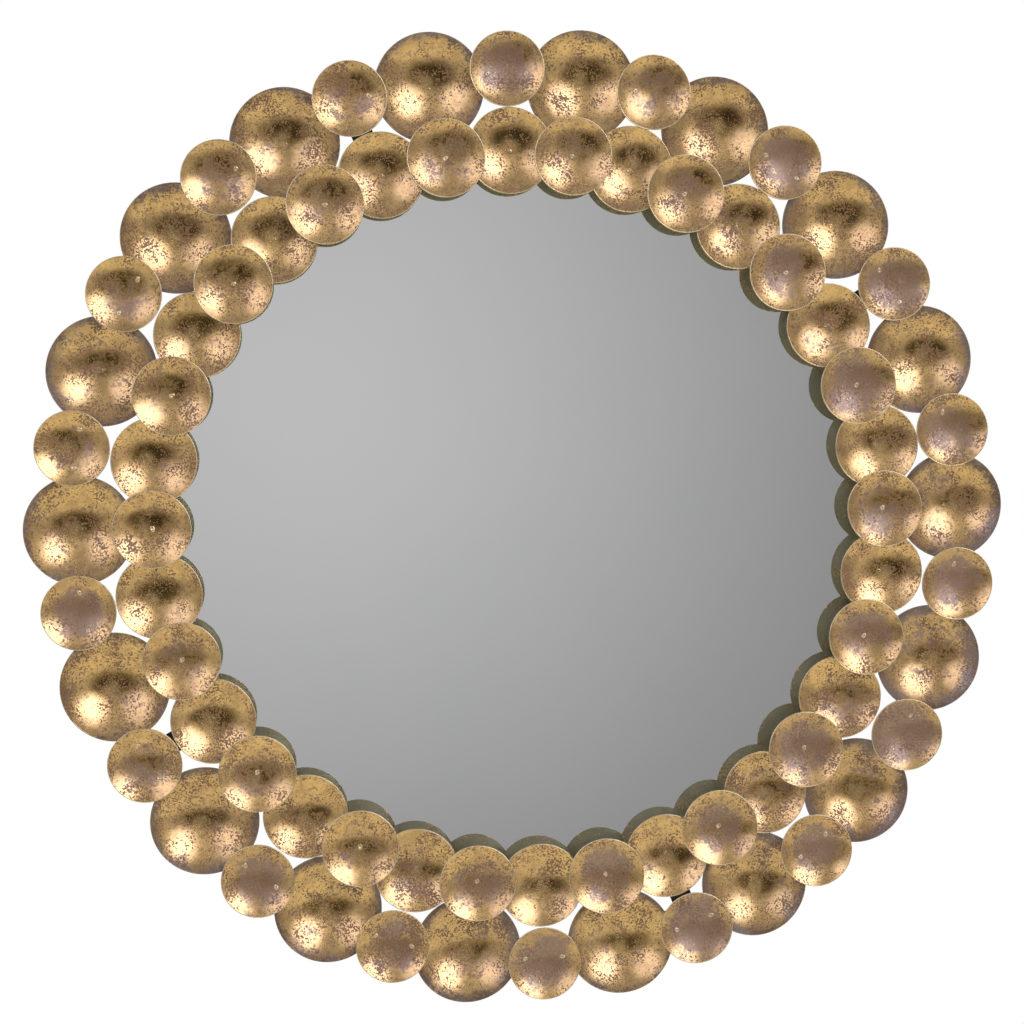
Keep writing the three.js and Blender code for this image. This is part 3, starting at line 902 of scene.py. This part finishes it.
@dataclass
class Carcass:
    """The frame, the outer ring, the board's screws and the wall bumpers."""

    steel: BlackSteel = BlackSteel()
    zinc: ZincPlate = ZincPlate()
    rubber: MouldedRubber = MouldedRubber()
    hoop_wall: float = 0.004
    lip_thickness: float = 0.003
    lip_width: float = 0.022
    ring_width: float = 0.012
    ring_sides: int = 240
    bar_edge: float = 0.0004
    head_height: float = 0.002
    head_dome: float = 0.0011
    recess_half_width: float = 0.0005
    recess_reach: float = 0.62
    shank_radius: float = 0.002
    thread_depth: float = 0.00045
    bumper_edge: float = 0.0016

    def build_frame(self) -> None:
        """The frame: a hoop round glass and board, with a lip turned in over the glass."""
        low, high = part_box("mirror_frame")
        outer = (high.x - low.x) / 2
        back, front = -high.y, -low.y
        section = [
            (outer - self.hoop_wall, back),
            (outer, back),
            (outer, front),
            (outer - self.lip_width, front),
            (outer - self.lip_width, front - self.lip_thickness),
            (outer - self.hoop_wall, front - self.lip_thickness),
        ]
        skin = turned(rounded(section, self.bar_edge), self.ring_sides)
        make_piece("frame_ring", skin, self.steel, FIXED_BODY, "mirror_frame")

    def build_outer_ring(self) -> None:
        """The flat ring that carries the large cups."""
        low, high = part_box("outer_ring")
        outer = (high.x - low.x) / 2
        inner = outer - self.ring_width
        section = [(inner, -high.y), (outer, -high.y), (outer, -low.y), (inner, -low.y)]
        skin = turned(rounded(section, self.bar_edge), self.ring_sides)
        make_piece("carrying_ring", skin, self.steel, FIXED_BODY, "outer_ring")

    def build_screw(self, node: str) -> None:
        """A pan-head screw with a cross recess, its head towards the wall.

        The head's back is a dome, and the recess sinks it by a depth where either |x| or
        |z| is under the slot's half width, within the recess's radius.

        Args:
            node: The CAD screw that it stands for.
        """
        low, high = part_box(node)
        radius = (high.x - low.x) / 2
        back, tip = -high.y, -low.y
        seat = back + self.head_height
        steps = np.linspace(0, 1, 17)
        dome = np.stack([steps * radius, back + self.head_dome * steps**4], axis=-1)
        thread = seat + (tip - seat) * np.linspace(0, 0.84, 29)
        ridge = self.shank_radius - self.thread_depth * (np.arange(29) % 2)
        shank = np.stack([ridge, thread], axis=-1)
        profile = np.concatenate(
            [dome, [[radius, seat - 0.0003], [radius * 0.95, seat]], shank, [[0.0, tip]]]
        )
        skin = turned(profile, 48)
        x, z = skin.points[:, 0], skin.points[:, 2]
        near_back = skin.points[:, 1] > -(back + 0.0006)
        cross = np.minimum(np.abs(x), np.abs(z)) < self.recess_half_width
        sunk = near_back & cross & (np.hypot(x, z) < radius * self.recess_reach)
        skin.points[sunk, 1] -= self.head_dome
        skin.points += np.array([(low.x + high.x) / 2, 0, (low.z + high.z) / 2])
        make_piece(f"{node}_head", skin, self.zinc, FIXED_BODY, node)

    def build_bumper(self, node: str) -> None:
        """A moulded bumper with a soft edge and a dished face towards the wall."""
        low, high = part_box(node)
        radius, height = (high.x - low.x) / 2, high.y - low.y
        turn = np.linspace(0, math.pi / 2, 8)
        soft = self.bumper_edge
        edge = np.stack(
            [radius - soft + soft * np.sin(turn), soft - soft * np.cos(turn)], axis=-1
        )
        dish = [[0.0, 0.0012], [0.0024, 0.0012], [0.0030, 0.0003], [0.0040, 0.0]]
        foot = [[radius, height - 0.0004], [radius - 0.0004, height], [0.0, height]]
        skin = turned(np.concatenate([dish, edge, foot]), 64)
        skin.points += np.array([(low.x + high.x) / 2, 0, (low.z + high.z) / 2])
        make_piece(f"{node}_rubber", skin, self.rubber, FIXED_BODY, node)

    def build(self, nodes: dict[str, bpy.types.Object]) -> None:
        """Makes or dresses everything behind the cups but the hangers."""
        self.build_frame()
        self.build_outer_ring()
        for k in range(1, 5):
            self.build_screw(f"spoke_screw_{k}")
            self.build_bumper(f"wall_bumper_{k}")
        dress_nodes(nodes, [f"spoke_{k}" for k in range(1, 5)], self.steel)
        dress_nodes(nodes, ["backing_board"], Fibreboard())
        dress_nodes(nodes, ["mirror_glass"], SilveredGlass())


@dataclass
class Hangers:
    """The two straps, their screws and the D-rings that swing in them."""

    carcass: Carcass
    wire: float = 0.0015
    bend: float = 0.013
    corner: float = 0.0028

    def ring_path(self, side_length: float) -> np.ndarray:
        """The D-ring's centre line: a half circle, two sides and a leg with round corners.

        Args:
            side_length: How far the leg lies over the bend's middle.

        Returns:
            Rows of (x, 0, z) from the middle of the bend.
        """
        low_turn = np.linspace(math.pi, 2 * math.pi, 41)
        bow = self.bend * np.stack([np.cos(low_turn), np.sin(low_turn)], axis=-1)
        turn = np.linspace(0, math.pi / 2, 9)
        inset, top = self.bend - self.corner, side_length - self.corner
        right = np.stack(
            [inset + self.corner * np.cos(turn), top + self.corner * np.sin(turn)], axis=-1
        )
        left = right[::-1] * np.array([-1.0, 1.0])
        leg = np.stack([np.linspace(inset, -inset, 13)[1:-1], np.full(11, side_length)], axis=-1)
        flat = np.concatenate([bow, right, leg, left])
        return np.stack([flat[:, 0], np.zeros(len(flat)), flat[:, 1]], axis=-1)

    def build(self, nodes: dict[str, bpy.types.Object]) -> None:
        """Makes the D-rings and screws, and dresses the straps."""
        for side in ("left", "right"):
            node = f"d_ring_{side}"
            low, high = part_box(node)
            middle_z = low.z + self.wire + self.bend
            side_length = high.z - self.wire - middle_z
            skin = tube_round(self.ring_path(side_length), self.wire, 20)
            skin.points += np.array([(low.x + high.x) / 2, (low.y + high.y) / 2, middle_z])
            make_piece(f"{node}_wire", skin, self.carcass.zinc, f"{side}_ring", node)
            self.carcass.build_screw(f"hanger_screw_{side}")
            dress_nodes(nodes, [f"hanger_strap_{side}"], self.carcass.zinc)


# ---------------------------------------------------------------- studio


@dataclass(frozen=True)
class SoftBox:
    """A large soft light in front of the mirror, given by where it is seen from it.

    Its light comes from an area lamp, and a gloss sees it as a soft-edged patch of the
    world, as bright as the radiance at its middle.
    """

    name: str
    azimuth_deg: float
    elevation_deg: float
    light: float
    radiance: Colour
    side: float = 2.5
    distance: float = 6.0
    core_deg: float = 4.0
    reach_deg: float = 26.0

    @property
    def towards(self) -> Vector:
        """The direction in which the mirror's middle sees it."""
        azimuth, elevation = math.radians(self.azimuth_deg), math.radians(self.elevation_deg)
        level = math.cos(elevation)
        return Vector((level * math.sin(azimuth), -level * math.cos(azimuth), math.sin(elevation)))

    def build(self) -> None:
        """Sets the lamp up, facing the mirror's middle and unseen by a gloss."""
        lamp = bpy.data.lights.new(self.name, "AREA")
        lamp.size = self.side
        lamp.energy = self.light * 4 * self.side**2
        holder = bpy.data.objects.new(self.name, lamp)
        holder.location = self.towards * self.distance
        holder.rotation_euler = self.towards.to_track_quat("Z", "Y").to_euler()
        holder.visible_camera = False
        holder.visible_glossy = False
        bpy.context.scene.collection.objects.link(holder)

    def lay_over(self, bench: Bench, direction: Signal, room: Signal) -> Signal:
        """The room with this light's patch over it."""
        settings = {"operation": "DOT_PRODUCT"}
        dot = bench.out("ShaderNodeVectorMath", "Value", settings, {0: direction, 1: self.towards})
        edges = (math.cos(math.radians(angle)) for angle in (self.reach_deg, self.core_deg))
        return bench.blend(dot.ease(*edges), room, self.radiance)


@dataclass
class Studio:
    """A pale floor well below the mirror, two soft boxes, a white surround and the room."""

    floor_drop: float = 1.6
    floor_front: float = 2.9
    floor_back: float = 3.0
    floor_half: float = 3.2
    soft_boxes: tuple[SoftBox, ...] = (
        SoftBox("right soft box", 33.0, 23.0, 7.0, (3.75, 3.72, 4.6)),
        SoftBox("left soft box", -35.0, 22.0, 4.4, (1.82, 1.76, 2.3)),
    )
    floor_paint: Colour = (0.80, 0.80, 0.80)
    floor_seen: float = 0.8  # how far the floor is plain white to the camera
    floor_mirrored: float = 0.65  # how far it is warm white to a gloss
    white: Colour = (1.0, 1.0, 1.0)
    warm_floor: Colour = (1.0, 0.94, 0.76)
    fill_below: Colour = (0.36, 0.34, 0.33)
    fill_above: Colour = (0.46, 0.46, 0.54)
    fill_behind: Colour = (0.90, 0.90, 0.90)
    room: Colour = (0.585, 0.575, 0.575)
    overhead: Colour = (0.46, 0.46, 0.54)
    far_sides: Colour = (0.46, 0.44, 0.46)
    shade: Colour = (0.035, 0.028, 0.020)
    shade_place: tuple[float, float] = (-0.04, -0.25)
    shade_half: tuple[float, float] = (0.76, 0.43)
    lens_place: Point = (0.0, -0.016, 0.0)
    lens_reach: float = 0.36
    screen_grey: float = 0.25
    screen_glow: float = 0.30
    screen_place: Point = (0.10, -0.08, 0.0)
    screen_edge: tuple[float, float] = (0.20, 0.168)

    @staticmethod
    def rays(bench: Bench) -> tuple[Signal, Signal, Signal]:
        """Whether a ray comes from the camera, a gloss or a clear body."""
        path = bench.node("ShaderNodeLightPath", {}, {})
        kinds = ("Camera", "Glossy", "Transmission")
        return tuple(Signal(bench, path.outputs[f"Is {kind} Ray"]) for kind in kinds)

    def build_floor(self) -> None:
        """The floor: pale, and near white where a camera or a mirror looks at it."""
        material = bpy.data.materials.new("studio floor")
        bench = Bench(material)
        camera, glossy, through = self.rays(bench)
        shown = camera * self.floor_seen + (glossy + through) * self.floor_mirrored
        painted = bench.out("ShaderNodeBsdfDiffuse", 0, {}, {"Color": self.floor_paint})
        colour = bench.blend(camera, self.warm_floor, self.white)
        white = bench.out("ShaderNodeEmission", 0, {}, {"Color": colour, "Strength": 1.0})
        mixed = bench.out("ShaderNodeMixShader", 0, {}, {0: shown, 1: painted, 2: white})
        bench.node("ShaderNodeOutputMaterial", {}, {"Surface": mixed})
        half, drop = self.floor_half, -self.floor_drop
        corners = [
            (-half, -self.floor_front, drop),
            (half, -self.floor_front, drop),
            (half, self.floor_back, drop),
            (-half, self.floor_back, drop),
        ]
        mesh = bpy.data.meshes.new("studio_floor")
        mesh.from_pydata(corners, [], [(0, 1, 2, 3)])
        mesh.materials.append(material)
        floor = bpy.data.objects.new("studio_floor", mesh)
        bpy.context.scene.collection.objects.link(floor)

    def build_surround(self) -> None:
        """The world: white behind the mirror, the room in front, soft fill for the rest.

        In front of the mirror a direction is told by its slopes: across = x / -y and
        up = z / -y. The glass shows a round screen there, which glows most where the lens
        is, and the cups also see the shaded ground that the camera stands on.
        """
        world = bpy.data.worlds.new("studio surround")
        bpy.context.scene.world = world
        bench = Bench(world)
        direction = bench.out("ShaderNodeTexCoord", "Generated", {}, {})
        split = bench.node("ShaderNodeSeparateXYZ", {}, {0: direction})
        x, y, z = (Signal(bench, split.outputs[i]) for i in range(3))
        ahead = (-y).at_least(0.02)
        across, up = x / ahead, z / ahead
        slopes = bench.out("ShaderNodeCombineXYZ", 0, {}, {0: across, 1: up})

        aside = (across - self.shade_place[0]) / self.shade_half[0]
        below = (up - self.shade_place[1]) / self.shade_half[1]
        shaded = (aside * aside + below * below).ease(1.25, 0.30)
        room = bench.blend((x * x).ease(0.58, 0.86), self.room, self.far_sides)
        room = bench.blend(z.ease(0.60, 0.82), room, self.overhead)
        room = bench.blend(shaded, room, self.shade)

        from_lens = bench.apart(slopes, self.lens_place)
        glow = from_lens.ease(self.lens_reach, 0.0) * self.screen_glow + self.screen_grey
        grey = bench.out("ShaderNodeCombineXYZ", 0, {}, {0: glow, 1: glow, 2: glow})
        on_screen = bench.apart(slopes, self.screen_place).ease(*self.screen_edge)
        room = bench.blend(on_screen, room, grey)

        for box in self.soft_boxes:
            room = box.lay_over(bench, direction, room)
        behind = y.ease(-0.02, 0.06)
        reflected = bench.blend(behind, room, self.white)
        fill = bench.blend(z.ease(-0.8, 0.8), self.fill_below, self.fill_above)
        fill = bench.blend(behind, fill, self.fill_behind)
        camera, glossy, through = self.rays(bench)
        lit = bench.blend((glossy + through).at_most(1.0), fill, reflected)
        colour = bench.blend(camera, lit, self.white)
        surface = bench.out("ShaderNodeBackground", 0, {}, {"Color": colour, "Strength": 1.0})
        bench.node("ShaderNodeOutputWorld", {}, {"Surface": surface})

    def build(self) -> None:
        """Sets the studio up and puts the view transform to plain."""
        self.build_floor()
        self.build_surround()
        for box in self.soft_boxes:
            box.build()
        bpy.context.scene.view_settings.view_transform = "Standard"


@dataclass
class Viewpoint:
    """The camera: left of the mirror's middle and above it, rolled by two degrees."""

    position: Vector = field(default_factory=lambda: Vector((-0.200, -2.030, 0.160)))
    aim: Vector = field(default_factory=lambda: Vector((-0.0081, 0.0, 0.0045)))
    roll_deg: float = -2.035
    lens: float = 76.2

    def build(self) -> None:
        """Places the camera and makes it the scene's."""
        data = bpy.data.cameras.new("viewpoint")
        data.sensor_width = 36.0
        data.lens = self.lens
        data.clip_start, data.clip_end = 0.05, 50.0
        camera = bpy.data.objects.new("viewpoint", data)
        turn = (self.aim - self.position).to_track_quat("-Z", "Y").to_matrix()
        turn = turn @ Matrix.Rotation(math.radians(self.roll_deg), 3, "Z")
        camera.matrix_world = Matrix.Translation(self.position) @ turn.to_4x4()
        bpy.context.scene.collection.objects.link(camera)
        bpy.context.scene.camera = camera


def main() -> None:
    """Loads the frame, then builds the camera, the studio and the dressed mirror."""
    logging.basicConfig(level=logging.INFO, format="%(message)s")
    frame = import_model()
    Viewpoint().build()
    Studio().build()
    carcass = Carcass()
    carcass.build(frame["nodes"])
    Hangers(carcass).build(frame["nodes"])
    Wreath().build()


if __name__ == "__main__":
    main()
